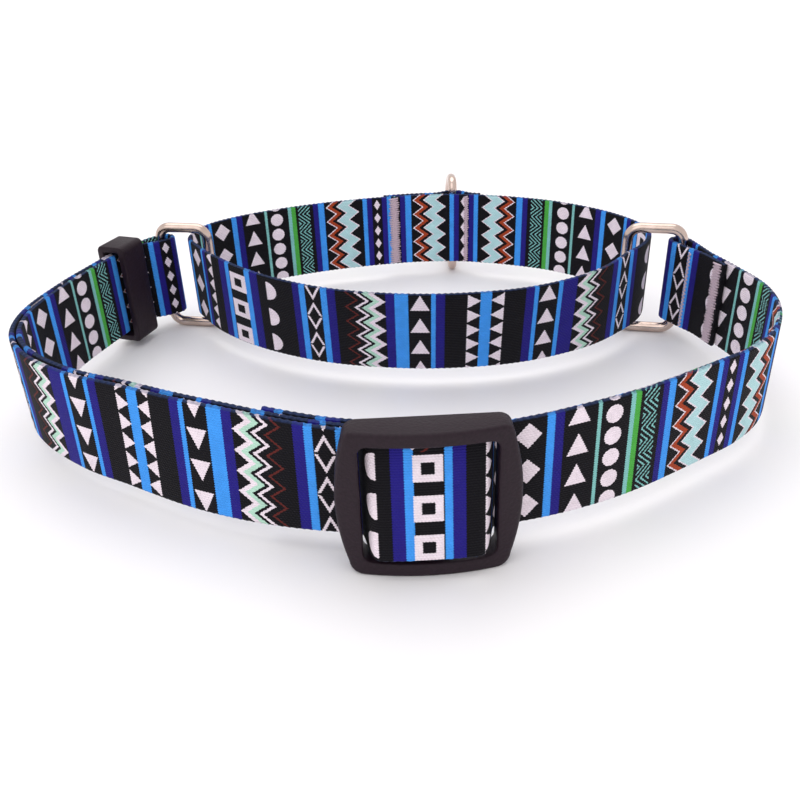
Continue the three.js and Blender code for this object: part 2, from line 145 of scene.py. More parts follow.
def spline(points, knot, closed=False):
    """Uniform Catmull-Rom through points, at a knot number with a fraction."""
    n = len(points)

    def point(i):
        if closed:
            return Vector(points[i % n])
        if i < 0:
            return 2 * Vector(points[0]) - Vector(points[1])
        if i >= n:
            return 2 * Vector(points[n - 1]) - Vector(points[n - 2])
        return Vector(points[i])

    i = int(math.floor(knot))
    if not closed:
        i = min(i, n - 2)
    f = knot - i
    p0, p1, p2, p3 = (point(i + k) for k in (-1, 0, 1, 2))
    return 0.5 * (2 * p1 + (p2 - p0) * f + (2 * p0 - 5 * p1 + 4 * p2 - p3) * f ** 2
                  + (3 * p1 - p0 - 3 * p2 + p3) * f ** 3)


def stretch(points, start, end, closed=False):
    steps = int(round(abs(end - start) * 30))
    return [spline(points, start + (end - start) * i / steps, closed) for i in range(steps + 1)]


def normals_of(route):
    """Unit vectors to the left of the direction of travel."""
    found = []
    for i in range(len(route)):
        along = route[min(i + 1, len(route) - 1)] - route[max(i - 1, 0)]
        along.normalize()
        found.append(Vector((-along.y, along.x)))
    return found


def offset(route, distance):
    """A route moved to its left. The distance is a number or a function of the point."""
    found = []
    for p, n in zip(route, normals_of(route)):
        d = distance(p) if callable(distance) else distance
        found.append(p + n * d)
    return found


def arc(start, end, radius):
    steps = int(abs(end - start) * 3)
    return [Vector(arc_point(start + (end - start) * i / steps, radius)) for i in range(steps + 1)]


def fold(before, bar):
    """The turn of a strap about a ring bar, from the left of its spine to the right."""
    bar = Vector(bar)
    end = Vector(before)
    along = (bar - end).normalized()
    left = Vector((-along.y, along.x))
    shoulder = FOLD_RADIUS * 0.8
    turn = [(-FOLD_RADIUS - 0.6, shoulder)]
    for i in range(25):
        a = math.pi / 2 - i * math.pi / 24
        turn.append((FOLD_SLACK + FOLD_RADIUS * math.cos(a), FOLD_RADIUS * math.sin(a)))
    turn.append((-FOLD_RADIUS - 0.6, -shoulder))
    return [bar + along * s + left * t for s, t in turn]


def adjuster_point(x, y):
    """A point of the adjuster's own frame, x along the strap and y = 0 on the frame's back plane, in plan."""
    a = math.radians(ADJUSTER_ANGLE)
    y = y - ADJUSTER_BACK_RADIUS
    c, s = math.cos(a), math.sin(a)
    return Vector((ARC_CENTRE[0] + x * c - y * s, ARC_CENTRE[1] + x * s + y * c))


def along_arc(x, radius):
    """A point at a distance along the arc from the adjuster's middle."""
    return Vector(arc_point(ADJUSTER_ANGLE + math.degrees(x / ARC_RADIUS), radius))


def pass_route():
    route = []
    for i in range(121):
        x = PASS_HALF - 2 * PASS_HALF * i / 120
        rise = PASS_RISE * smooth((PASS_FOOT - abs(x)) / (PASS_FOOT - PASS_FLAT))
        route.append(along_arc(x, ARC_RADIUS + rise))
    return route


def end_fold_route():
    inner = ARC_RADIUS - LAYER_PITCH
    middle = (BAR_FRONT + BAR_BACK) / 2
    radius = (BAR_BACK - BAR_FRONT) / 2 + 0.3 + WEB_THICK / 2
    at = adjuster_point
    lead = [along_arc(-PASS_HALF - 3, inner), along_arc(-PASS_HALF, inner), along_arc(-FOLD_LEAD, inner),
            at(-10.2, 2.4), at(-8.2, 0.7), at(-6.2, -1.5), at(-4.4, -3.1), at(-BAR_HALF, middle - radius)]
    turn = []
    for i in range(17):
        a = -math.pi / 2 + i * math.pi / 16
        turn.append(at(BAR_HALF + radius * math.cos(a), middle + radius * math.sin(a)))
    back = [at(BAR_HALF, middle + radius), at(-2, 1.1), at(-6, 2.7), at(-9.5, 4.6),
            along_arc(-FOLD_LEAD - 1, inner - LAYER_PITCH), along_arc(-PASS_HALF - 3, inner - LAYER_PITCH)]
    tail = []
    for i in range(1, 9):
        x = -PASS_HALF - 3 - (TAIL_LENGTH - PASS_HALF - 3) * i / 8
        tail.append(along_arc(x, inner - LAYER_PITCH))
    return stretch(lead, 1, len(lead) - 1) + turn[1:-1] + stretch(back, 0, len(back) - 1) + tail


class Route:
    """A whole strap at even steps, from named stretches, with the left normal at each station."""

    def __init__(self, stretches, closed=False):
        points = []
        self.marks = {}
        total = 0.0
        for name, part in stretches:
            for p in part:
                if points and (p - points[-1]).length < 1e-6:
                    continue
                if points:
                    total += (p - points[-1]).length
                points.append(p)
            self.marks[name] = total
        self.length = total
        count = int(round(total / STEP))
        self.step = total / count
        even = self._even(points, count)
        for _ in range(6):
            even = self._relaxed(even, closed)
        self.points = even
        if closed:
            around = [even[-2]] + even + [even[1]]
            self.normals = normals_of(around)[1:-1]
        else:
            self.normals = normals_of(even)

    def _even(self, points, count):
        even = [points[0].copy()]
        travelled = 0.0
        i = 0
        for k in range(1, count):
            goal = self.length * k / count
            while travelled + (points[i + 1] - points[i]).length < goal:
                travelled += (points[i + 1] - points[i]).length
                i += 1
            gap = points[i + 1] - points[i]
            even.append(points[i] + gap * ((goal - travelled) / gap.length))
        even.append(points[-1].copy())
        return even

    def _relaxed(self, even, closed):
        moved = [p.copy() for p in even]
        for i in range(1, len(even) - 1):
            moved[i] = (even[i - 1] + 2 * even[i] + even[i + 1]) / 4
        if closed:
            moved[0] = (even[-2] + 2 * even[0] + even[1]) / 4
            moved[-1] = moved[0].copy()
        return moved

    def index(self, distance):
        return int(round(distance / self.step))

    def cut(self, start, end):
        """The stations between two distances, as (point, normal, distance).

        On a closed route the end may lie past the start.
        """
        last = len(self.points) - 1
        found = []
        for i in range(self.index(start), self.index(end) + 1):
            k = i if i <= last else i - last
            found.append((self.points[k], self.normals[k], i * self.step))
        return found


# ---------------------------------------------------------------- meshes
def build(name, vertices, faces, material, uvs=None, sharp=50.0):
    """An object from points in metres, quads and n-gons, and one (u, v) for each face corner."""
    mesh = bpy.data.meshes.new(name)
    mesh.from_pydata([tuple(v) for v in vertices], [], faces)
    if uvs:
        layer = mesh.uv_layers.new(name="strap")
        flat = [c for uv in uvs for c in uv]
        layer.data.foreach_set("uv", flat)
    mesh.materials.append(material)
    mesh.polygons.foreach_set("use_smooth", [True] * len(mesh.polygons))
    mesh.set_sharp_from_angle(angle=math.radians(sharp))
    mesh.validate()
    mesh.update()
    piece = bpy.data.objects.new(name, mesh)
    bpy.context.scene.collection.objects.link(piece)
    return piece


HALF_T = WEB_THICK / 2
HALF_W = WEB_WIDTH / 2
EDGE_ROUND = [(0.92, 0.42), (0.60, 0.13), (0.0, 0.0), (-0.60, 0.13), (-0.92, 0.42)]
COLUMNS = 6
SCALLOP = 0.10
SCALLOP_PITCH = 1.6


def strap_section():
    """Closed section as (across, up): left face upwards, top edge, right face downwards, bottom edge."""
    flat = HALF_W - 0.9
    rising = [flat * (2 * i / (COLUMNS - 1) - 1) for i in range(COLUMNS)]
    top = [(t * HALF_T, HALF_W - drop) for t, drop in EDGE_ROUND]
    section = [(HALF_T, z) for z in rising] + top + [(-HALF_T, z) for z in reversed(rising)]
    return section + [(-t, -z) for t, z in top]


SECTION = strap_section()


class Print:
    """Where the printed pattern lies on one face: u at distance zero, its direction, and which way up."""

    def __init__(self, start, direction=-1, up=1):
        self.start = start
        self.direction = direction
        self.up = up

    def uv(self, distance, z):
        return (self.start + self.direction * distance, self.up * z)


def strap(name, stations, left, right, lean=None):
    """Webbing on edge along stations, printed on both faces. lean(x, share) moves it along Y."""
    count = len(SECTION)
    vertices = []
    for p, n, s in stations:
        for across, up in SECTION:
            z = up
            if abs(up) > HALF_W - 0.2:
                depth = math.copysign(SCALLOP, up)
                z += depth * math.sin(2 * math.pi * s / SCALLOP_PITCH) - depth
            x = p.x + n.x * across
            y = p.y + n.y * across
            if lean:
                y += lean(p.x, (up + HALF_W) / WEB_WIDTH)
            vertices.append(place(x, y, MID_HEIGHT + z))
    half_turn = COLUMNS + 2
    faces = []
    uvs = []
    for i in range(len(stations) - 1):
        for j in range(count):
            k = (j + 1) % count
            faces.append((i * count + j, i * count + k, (i + 1) * count + k, (i + 1) * count + j))
            on_left = j < half_turn or j >= count - 3
            face = left if on_left else right
            for station, corner in ((i, j), (i, k), (i + 1, k), (i + 1, j)):
                uvs.append(face.uv(stations[station][2], SECTION[corner][1]))
    last = (len(stations) - 1) * count
    faces.append(tuple(reversed(range(count))))
    uvs += [left.uv(stations[0][2], SECTION[j][1]) for j in reversed(range(count))]
    faces.append(tuple(last + j for j in range(count)))
    uvs += [left.uv(stations[-1][2], SECTION[j][1]) for j in range(count)]
    piece = build(name, vertices, faces, WEBBING, uvs)
    return piece


def tube(name, path, radius, sides, material, closed=False, normal=Vector((0, 0, 1)), swell=None):
    """A round wire or thread along points in metres. swell(distance) scales its radius."""
    count = len(path)
    vertices = []
    distances = [0.0]
    for i in range(1, count):
        distances.append(distances[-1] + (path[i] - path[i - 1]).length)
    for i, p in enumerate(path):
        before = path[i - 1] if closed or i else path[0]
        after = path[(i + 1) % count] if closed or i < count - 1 else path[-1]
        along = (after - before).normalized()
        side = along.cross(normal).normalized()
        up = side.cross(along)
        r = radius * (swell(distances[i]) if swell else 1.0)
        for k in range(sides):
            a = 2 * math.pi * k / sides
            vertices.append(p + side * (r * math.cos(a)) + up * (r * math.sin(a)))
    faces = []
    uvs = []
    for i in range(count if closed else count - 1):
        j = (i + 1) % count
        u0 = distances[i] / MM
        u1 = u0 + (path[j] - path[i]).length / MM
        for k in range(sides):
            m = (k + 1) % sides
            faces.append((i * sides + k, i * sides + m, j * sides + m, j * sides + k))
            uvs += [(u0, k / sides), (u0, (k + 1) / sides), (u1, (k + 1) / sides), (u1, k / sides)]
    if not closed:
        faces.append(tuple(reversed(range(sides))))
        faces.append(tuple((count - 1) * sides + k for k in range(sides)))
        uvs += [(0, 0)] * (2 * sides)
    piece = build(name, vertices, faces, material, uvs)
    return piece


# ---------------------------------------------------------------- shader helpers
def linear(colour):
    """An sRGB colour from 0 to 255 as linear RGBA."""
    def channel(c):
        c /= 255
        return c / 12.92 if c <= 0.04045 else ((c + 0.055) / 1.055) ** 2.4
    return tuple(channel(c) for c in colour) + (1.0,)


class Field:
    """A number that varies over a surface: a node's output, with arithmetic that adds Math nodes."""

    def __init__(self, tree, socket):
        self.tree = tree
        self.socket = socket

    def op(self, operation, *others):
        node = self.tree.nodes.new("ShaderNodeMath")
        node.operation = operation
        self.tree.links.new(self.socket, node.inputs[0])
        for i, other in enumerate(others, 1):
            if isinstance(other, Field):
                self.tree.links.new(other.socket, node.inputs[i])
            else:
                node.inputs[i].default_value = other
        return Field(self.tree, node.outputs[0])

    def __add__(self, other):
        return self.op("ADD", other)

    def __sub__(self, other):
        return self.op("SUBTRACT", other)

    def __mul__(self, other):
        return self.op("MULTIPLY", other)

    def __truediv__(self, other):
        return self.op("DIVIDE", other)

    def __lt__(self, other):
        return self.op("LESS_THAN", other)

    def __gt__(self, other):
        return self.op("GREATER_THAN", other)

    def __abs__(self):
        return self.op("ABSOLUTE")

    def near(self, centre, reach):
        return self.op("COMPARE", centre, reach)

    def inside(self, low, high):
        return self.near((low + high) / 2, (high - low) / 2)

    def cell(self, period, centre):
        """Signed distance from the nearest of the evenly spaced centres."""
        return (self - centre).op("WRAP", period / 2, -period / 2)

    def wave(self, period, centre):
        """Triangle wave from -1 to 1, lowest at the centre."""
        return (self - centre).op("PINGPONG", period / 2) * (4 / period) - 1.0

    def largest(self, other):
        return self.op("MAXIMUM", other)


def new_material(name):
    material = bpy.data.materials.new(name)
    material.use_nodes = True
    tree = material.node_tree
    tree.nodes.clear()
    output = tree.nodes.new("ShaderNodeOutputMaterial")
    shader = tree.nodes.new("ShaderNodeBsdfPrincipled")
    tree.links.new(shader.outputs["BSDF"], output.inputs["Surface"])
    return material, tree, shader


def strap_coordinates(tree):
    node = tree.nodes.new("ShaderNodeUVMap")
    node.uv_map = "strap"
    split = tree.nodes.new("ShaderNodeSeparateXYZ")
    tree.links.new(node.outputs["UV"], split.inputs[0])
    return Field(tree, split.outputs["X"]), Field(tree, split.outputs["Y"]), node.outputs["UV"]


def noise(tree, vector, scale, detail=2.0, stretch_by=(1, 1, 1)):
    mapping = tree.nodes.new("ShaderNodeMapping")
    mapping.inputs["Scale"].default_value = stretch_by
    tree.links.new(vector, mapping.inputs["Vector"])
    node = tree.nodes.new("ShaderNodeTexNoise")
    node.inputs["Scale"].default_value = scale
    node.inputs["Detail"].default_value = detail
    tree.links.new(mapping.outputs["Vector"], node.inputs["Vector"])
    return Field(tree, node.outputs["Fac"])


def object_position(tree):
    return tree.nodes.new("ShaderNodeTexCoord").outputs["Object"]


def mixed(tree, mask, first, second, blend="MIX"):
    """Colour first where the mask is 0 and second where it is 1. Either may be a colour or a socket."""
    node = tree.nodes.new("ShaderNodeMix")
    node.data_type = "RGBA"
    node.blend_type = blend
    if isinstance(mask, Field):
        tree.links.new(mask.socket, node.inputs[0])
    else:
        node.inputs[0].default_value = mask
    for socket, value in ((node.inputs[6], first), (node.inputs[7], second)):
        if isinstance(value, tuple):
            socket.default_value = value
        else:
            tree.links.new(value, socket)
    return node.outputs[2]


def bump(tree, shader, height, distance, strength):
    node = tree.nodes.new("ShaderNodeBump")
    node.inputs["Strength"].default_value = strength
    node.inputs["Distance"].default_value = distance
    tree.links.new(height.socket, node.inputs["Height"])
    tree.links.new(node.outputs["Normal"], shader.inputs["Normal"])


# ---------------------------------------------------------------- printed webbing
BLACK = linear((8, 6, 14))
BLUE = linear((34, 26, 128))
SKY = linear((66, 158, 250))
WHITE = linear((246, 232, 242))
MINT = linear((188, 228, 208))
TEAL = linear((134, 200, 196))
GREEN = linear((78, 176, 70))
RUST = linear((170, 66, 32))
MAROON = linear((96, 34, 30))
ICE = linear((186, 226, 230))
DENIM = linear((40, 58, 100))

HALF_REPEAT = 152.0
STRIPES = [
    (0, SKY), (1.2, BLACK), (10.5, BLUE), (12.8, SKY), (14.1, BLACK), (20.1, SKY), (23.7, BLUE), (26, BLACK),
    (39.6, BLUE), (42, SKY), (43.8, BLACK), (48.6, SKY), (50.2, BLUE), (52.5, BLACK), (64.5, BLUE),
    (67.4, SKY), (69.6, BLACK), (76.3, SKY), (78.1, BLUE), (81.2, BLACK), (89.2, BLUE), (91, SKY),
    (92.2, BLACK), (100.1, SKY), (101.9, BLUE), (104.1, BLACK), (112, TEAL), (113.1, BLACK),
    (120.4, TEAL), (121.6, GREEN), (123.1, BLACK), (129.3, BLUE), (131.1, SKY), (133.2, BLACK),
    (146.7, SKY), (148.3, BLUE), (150, BLACK),
]
RAMP_SPAN = HALF_REPEAT / 2


def stripe_ramp(tree, position, first, stripes):
    """Plain bands from a colour ramp that covers RAMP_SPAN of the strap from first."""
    node = tree.nodes.new("ShaderNodeValToRGB")
    node.color_ramp.interpolation = "CONSTANT"
    elements = node.color_ramp.elements
    while len(elements) > 1:
        elements.remove(elements[-1])
    elements[0].position = 0.0
    elements[0].color = [c for at, c in stripes if at <= first][-1]
    for at, colour in stripes:
        if first < at < first + RAMP_SPAN:
            elements.new((at - first) / RAMP_SPAN).color = colour
    tree.links.new(((position - first) / RAMP_SPAN).socket, node.inputs[0])
    return node.outputs[0]


def print_motifs(m, v, side):
    """(mask, colour) of every printed figure. m is the folded distance, v the height across the strap."""
    figures = []

    def figure(mask, colour):
        figures.append((mask, colour))

    def sideways_triangles(tip, base, period, centre, height):
        rise = (m - tip) / (base - tip)
        shape = abs(v.cell(period, centre)) / (height / 2) < rise
        figure(shape * m.inside(min(tip, base), max(tip, base)), WHITE)

    def upright_triangles(low, high, period, centre, height):
        c = v.cell(period, centre)
        slope = abs(m - (low + high) / 2) / ((high - low) / 2) + (c + height / 2) / height
        figure((slope < 1.0) * (c > -height / 2), WHITE)

    def diamond(low, high, period, centre, height):
        return abs(m - (low + high) / 2) / ((high - low) / 2) + abs(v.cell(period, centre)) / (height / 2)

    def disc(low, high, middle, period, centre, height):
        across = (m - middle) / (high - low)
        up = v.cell(period, centre) / (height / 2)
        return across * across + up * up

    figure((side < 0.0) * m.inside(21.5, 23.8), BLUE)
    sideways_triangles(1.3, 4.8, 4.63, 0.6, 4.1)
    upright_triangles(14.6, 19.7, 7.15, 2.6, 4.7)

    narrow = m - v.wave(4.63, 0.6) * 1.6
    figure(narrow.inside(27.7, 29.3), WHITE)
    figure(narrow.inside(29.3, 30.9), MINT)
    figure(narrow.inside(32.0, 33.0), WHITE)
    figure(narrow.inside(35.0, 35.7), MAROON)

    outline = diamond(43.9, 48.7, 9.6, 3.1, 8.9)
    figure(outline.inside(0.70, 1.0) * (abs(v.cell(9.6, 3.1)) > 0.25), WHITE)
    figure((disc(58.2, 61.6, 61.6, 8.33, -0.4, 5.6) < 1.0) * (m < 61.6), WHITE)

    square = (abs(m - 72.95) / 3.35).largest(abs(v.cell(8.33, -0.95)) / 2.75)
    figure(square.inside(0.45, 1.0), WHITE)
    sideways_triangles(88.3, 85.6, 4.17, -1.3, 3.9)
    figure(diamond(93.4, 99.3, 8.33, 0.1, 5.8) < 1.0, WHITE)
    upright_triangles(105.2, 110.4, 7.15, 4.0, 4.9)
    figure(disc(0, 2.15, 116.4, 5.1, -1.4, 4.1) < 1.0, WHITE)

    chevron = (abs(v.cell(6.3, 0.0)) * 1.15 + m).op("WRAP", 1.5, 0.0)
    figure((chevron < 0.5) * m.inside(124.1, 128.2), TEAL)

    wide = m - v.wave(5.0, 0.6) * 1.7
    figure(wide.inside(135.5, 139.7), WHITE)
    figure(wide.inside(136.0, 137.7), RUST)
    figure(wide.inside(137.7, 139.2), BLACK)
    figure(wide.inside(139.7, 143.4), ICE)
    figure(wide.inside(143.4, 143.9), WHITE)
    figure(diamond(150.9, 153.1, 4.63, 0.6, 3.6) < 1.0, WHITE)
    return figures


RIB = 0.55


def webbing_material():
    material, tree, shader = new_material("printed_webbing")
    u, v, coordinates = strap_coordinates(tree)
    ribs = v / RIB
    rib_wave = (v * (2 * math.pi / RIB)).op("SINE")
    picks = ((u * (2 * math.pi / 0.8)) + ribs.op("FLOOR") * math.pi).op("SINE")
    fuzz = noise(tree, coordinates, 1.6, 3.0, (0.8, 2.2, 1))
    across = u + rib_wave * 0.09 + (fuzz - 0.5) * 0.22
    height = v + picks * 0.05
    m = across.op("PINGPONG", HALF_REPEAT)
    side = across.op("WRAP", HALF_REPEAT, -HALF_REPEAT)

    lower = stripe_ramp(tree, m, 0.0, STRIPES)
    upper = stripe_ramp(tree, m, RAMP_SPAN, STRIPES)
    colour = mixed(tree, m > RAMP_SPAN, lower, upper)
    for mask, ink in print_motifs(m, height, side):
        colour = mixed(tree, mask, colour, ink)

    # Undyed yarn shows along the selvedge, and the ink is a little uneven everywhere; the colour is also
    # darkened along the weave's grooves, which is painted shade.
    edge = (abs(v) - 12.0) * 2.6
    edge = edge.op("MINIMUM", 1.0).op("MAXIMUM", 0.0)
    speck = noise(tree, coordinates, 1.1, 2.0, (1.0, 1.6, 1))
    colour = mixed(tree, edge * speck * 1.1, colour, DENIM)
    cloth = noise(tree, coordinates, 0.35, 4.0)
    # Painted shade: the colour is darkened a little along the grooves of the ribs and picks.
    groove_shade = rib_wave * 0.5 + picks * 0.5
    shade = cloth * 0.35 + groove_shade * 0.09 + 0.80
    tone = tree.nodes.new("ShaderNodeCombineColor")
    for channel in range(3):
        tree.links.new(shade.socket, tone.inputs[channel])
    colour = mixed(tree, 1.0, colour, tone.outputs[0], "MULTIPLY")
    tree.links.new(colour, shader.inputs["Base Color"])

    roughness = fuzz * 0.2 + 0.70
    tree.links.new(roughness.socket, shader.inputs["Roughness"])
    shader.inputs["Specular IOR Level"].default_value = 0.18
    shader.inputs["Sheen Weight"].default_value = 0.04
    shader.inputs["Sheen Roughness"].default_value = 0.45
    relief = rib_wave * 0.6 + rib_wave * picks * 0.5 + fuzz * 0.8
    bump(tree, shader, relief, 0.00010, 0.8)
    return material


def thread_material():
    material, tree, shader = new_material("sewing_thread")
    u, v, coordinates = strap_coordinates(tree)
    twist = (u * (2 * math.pi / 0.55) + v * (2 * math.pi)).op("SINE")
    lint = noise(tree, coordinates, 2.0, 3.0)
    colour = mixed(tree, lint, linear((190, 164, 176)), linear((236, 214, 224)))
    # Painted shade: the colour darkens towards a grey mauve along the grooves of the twist.
    colour = mixed(tree, (twist * 0.25 + 0.25), colour, linear((146, 128, 146)))
    tree.links.new(colour, shader.inputs["Base Color"])
    shader.inputs["Roughness"].default_value = 0.62
    shader.inputs["Sheen Weight"].default_value = 0.2
    bump(tree, shader, twist + lint, 0.00005, 0.7)
    return material


def plastic_material():
    material, tree, shader = new_material("moulded_plastic")
    position = object_position(tree)
    grain = noise(tree, position, 1500.0, 3.0)
    patches = noise(tree, position, 90.0, 3.0)
    colour = mixed(tree, grain, linear((24, 13, 21)), linear((44, 29, 39)))
    tree.links.new(colour, shader.inputs["Base Color"])
    roughness = patches * 0.14 + grain * 0.12 + 0.36
    tree.links.new(roughness.socket, shader.inputs["Roughness"])
    shader.inputs["Specular IOR Level"].default_value = 0.22
    bump(tree, shader, grain + patches * 0.3, 0.00014, 0.8)
    return material


def metal_material():
    material, tree, shader = new_material("nickel_plate")
    u, v, coordinates = strap_coordinates(tree)
    position = object_position(tree)
    drawn = noise(tree, coordinates, 6.0, 3.0, (0.06, 14.0, 1))
    dull = noise(tree, position, 260.0, 4.0)
    # Painted reflection: both tones are darker and warmer to stand in for reflections of dark surroundings,
    # and the noise mixes them in random patches.
    colour = mixed(tree, dull, linear((186, 164, 152)), linear((226, 206, 196)))
    tree.links.new(colour, shader.inputs["Base Color"])
    shader.inputs["Metallic"].default_value = 1.0
    roughness = drawn * 0.10 + dull * 0.12 + 0.08
    tree.links.new(roughness.socket, shader.inputs["Roughness"])
    bump(tree, shader, drawn + dull * 0.6, 0.00003, 0.35)
    return material


WEBBING = webbing_material()
THREAD = thread_material()
PLASTIC = plastic_material()
METAL = metal_material()

# ---------------------------------------------------------------- straps
def rise_and_fall(x, start, most, end):
    return smooth((x - start) / (most - start)) if x < most else smooth((end - x) / (end - most))


def left_lean(x, share):
    return STRAP_LEAN * share * rise_and_fall(x, LEAN_FROM, LEAN_MOST, LEAN_TO)


def right_lean(x, share):
    return RIGHT_LEAN * share * rise_and_fall(x, RIGHT_LEAN_FROM, RIGHT_LEAN_MOST, RIGHT_LEAN_TO)


def pass_lean(x, share):
    """The hump over the centre bar comes forward at its lower edge and falls back at its upper edge."""
    hump = smooth((PASS_FOOT - abs(x - adjuster_point(0, 0).x)) / (PASS_FOOT - PASS_FLAT))
    return left_lean(x, share) + hump * (4.2 * share - 1.2)


left_side = stretch(LEFT_SPINE, 1, END_KNOT)
left_end = stretch(LEFT_SPINE, END_KNOT, LEFT_LAST)
right_side = stretch(RIGHT_SPINE, 1, END_KNOT)
right_end = stretch(RIGHT_SPINE, END_KNOT, RIGHT_LAST)
LAYER = LAYER_PITCH / 2
PASS_SPAN = math.degrees(PASS_HALF / ARC_RADIUS)
RIGHT_EDGE = ADJUSTER_ANGLE + PASS_SPAN
LEFT_EDGE = ADJUSTER_ANGLE - PASS_SPAN

left_fold = fold(LEFT_SPINE[LEFT_LAST], LEFT_BAR)
right_fold = fold(RIGHT_SPINE[RIGHT_LAST], RIGHT_BAR)
middle_fold = len(left_fold) // 2
through = pass_route()
middle_pass = len(through) // 2

neck = Route([
    ("right_tail", offset(right_end, LAYER)),
    ("right_bar", right_fold[:middle_fold + 1]),
    ("right_fold", right_fold[middle_fold:] + offset(right_end, -LAYER)[::-1]),
    ("right_side", offset(right_side, -LAYER)[::-1]),
    ("right_front", arc(ARC_SPREAD, RIGHT_EDGE, ARC_RADIUS)),
    ("pass_middle", through[:middle_pass + 1]),
    ("pass", through[middle_pass:]),
    ("left_front_outer", arc(LEFT_EDGE, -ARC_SPREAD, ARC_RADIUS)),
    ("left_side_outer", offset(left_side, LAYER)),
    ("left_bar", offset(left_end, LAYER) + left_fold[:middle_fold + 1]),
    ("left_fold", left_fold[middle_fold:] + offset(left_end, -LAYER)[::-1]),
    ("left_side_inner", offset(left_side, -LAYER)[::-1]),
    ("left_front_inner", arc(-ARC_SPREAD, LEFT_EDGE, ARC_RADIUS - LAYER_PITCH)),
    ("end_fold", end_fold_route()),
])
at = neck.marks

PRINT_SHRINK = 1.031
PRINT_SLIP = 1.0
RIGHT_SHRINK = 1.045
RIGHT_SLIP = 0.5
PASS_SHRINK = 1.17
RIGHT_PRINT_AT = 75.5
LEFT_PRINT_AT = 67.2
PASS_PRINT_AT = 73.3
TAIL_PRINT_AT = 37.1
TAIL_START = 2.4
right_print = RIGHT_PRINT_AT + PASS_HALF + at["right_front"]
right_travel = RIGHT_SHRINK * (at["right_front"] + RIGHT_SLIP)
outer_right = Print(RIGHT_PRINT_AT + PASS_HALF + right_travel, -RIGHT_SHRINK)
inner_right = Print(right_print - 15.0, up=-1)
outer_left = Print(LEFT_PRINT_AT - PASS_HALF + PRINT_SHRINK * (at["pass"] - PRINT_SLIP), -PRINT_SHRINK, up=-1)
inner_left = Print(HALF_REPEAT + at["left_bar"] + 5.6)
tail_print = Print(TAIL_PRINT_AT + at["right_bar"])
pass_print = Print(PASS_PRINT_AT + PASS_SHRINK * at["pass_middle"], -PASS_SHRINK)


def neck_piece(name, start, end, left, right, lean=None):
    """The neck strap between two of its marks."""
    return strap(name, neck.cut(at[start], at[end]), left, right, lean)


right_front = neck_piece(
    "strap_right_front", "right_side", "right_front", outer_right, inner_right, right_lean)
right_side_piece = neck_piece(
    "strap_right_side", "right_fold", "right_side", outer_right, inner_right, right_lean)
right_tail = strap("strap_right_tail", neck.cut(TAIL_START, at["right_bar"]), tail_print, tail_print)
right_turn = neck_piece("strap_right_fold", "right_bar", "right_fold", outer_right, inner_right)
web_pass = neck_piece("strap_pass", "right_front", "pass", pass_print, pass_print, pass_lean)
left_front_outer = neck_piece(
    "strap_left_front_outer", "pass", "left_front_outer", outer_left, outer_left, left_lean)
left_side_outer = neck_piece(
    "strap_left_side_outer", "left_front_outer", "left_side_outer", outer_left, outer_left, left_lean)
left_turn_outer = neck_piece("strap_left_fold_outer", "left_side_outer", "left_bar", outer_left, outer_left)
left_turn_inner = neck_piece("strap_left_fold_inner", "left_bar", "left_fold", inner_left, inner_left)
left_side_inner = neck_piece(
    "strap_left_side_inner", "left_fold", "left_side_inner", inner_left, inner_left, left_lean)
left_front_inner = neck_piece(
    "strap_left_front_inner", "left_side_inner", "left_front_inner", inner_left, inner_left, left_lean)
end_fold = neck_piece("strap_end_fold", "left_front_inner", "end_fold", inner_left, inner_left, left_lean)

# The control loop, cut where its back pass changes from one motion to the next
TURN_LEFT_KNOT = 23
SPLIT_LEFT_KNOT = 20.6
SPLIT_RIGHT_KNOT = 14.3
LOOP_CUTS = [
    ("left_turn_end", 0, 2), ("front", 2, 9), ("right_turn", 9, 12), ("right_back_out", 12, SPLIT_RIGHT_KNOT),
    ("right_back_in", SPLIT_RIGHT_KNOT, 16), ("pocket", 16, 19), ("left_back_in", 19, SPLIT_LEFT_KNOT),
    ("left_back_out", SPLIT_LEFT_KNOT, TURN_LEFT_KNOT), ("left_turn_start", TURN_LEFT_KNOT, 24),
]
loop = Route([(name, stretch(LOOP, a, b, True)) for name, a, b in LOOP_CUTS], closed=True)
on = loop.marks
FRONT_PRINT_CENTRE = 105.4
BACK_RIGHT_CENTRE = 248.4
BACK_LEFT_CENTRE = 279.2
outer_loop = Print(FRONT_PRINT_CENTRE)
wrapped_loop = Print(FRONT_PRINT_CENTRE + loop.length)
inner_back_right = Print(HALF_REPEAT - BACK_RIGHT_CENTRE, direction=1)
inner_back_left = Print(HALF_REPEAT - BACK_LEFT_CENTRE, direction=1)


def loop_lean(x, share):
    u = 2 * (x - LOOP[2][0]) / (LOOP[9][0] - LOOP[2][0]) - 1
    return -LOOP_LEAN * share * max(0.0, 1 - abs(u) ** (4 if u > 0 else 2))


def pocket_offset(p):
    u = max(-1.0, min(1.0, (p.x - LOOP[LEASH_KNOT][0]) / POCKET_HALF))
    return -(LAYER_PITCH + POCKET_BULGE * (1 + math.cos(math.pi * u)) / 2)


def loop_piece(name, start, end, left, right, lean=None):
    """The control loop between two of its marks."""
    return strap(name, loop.cut(on[start], on[end]), left, right, lean)


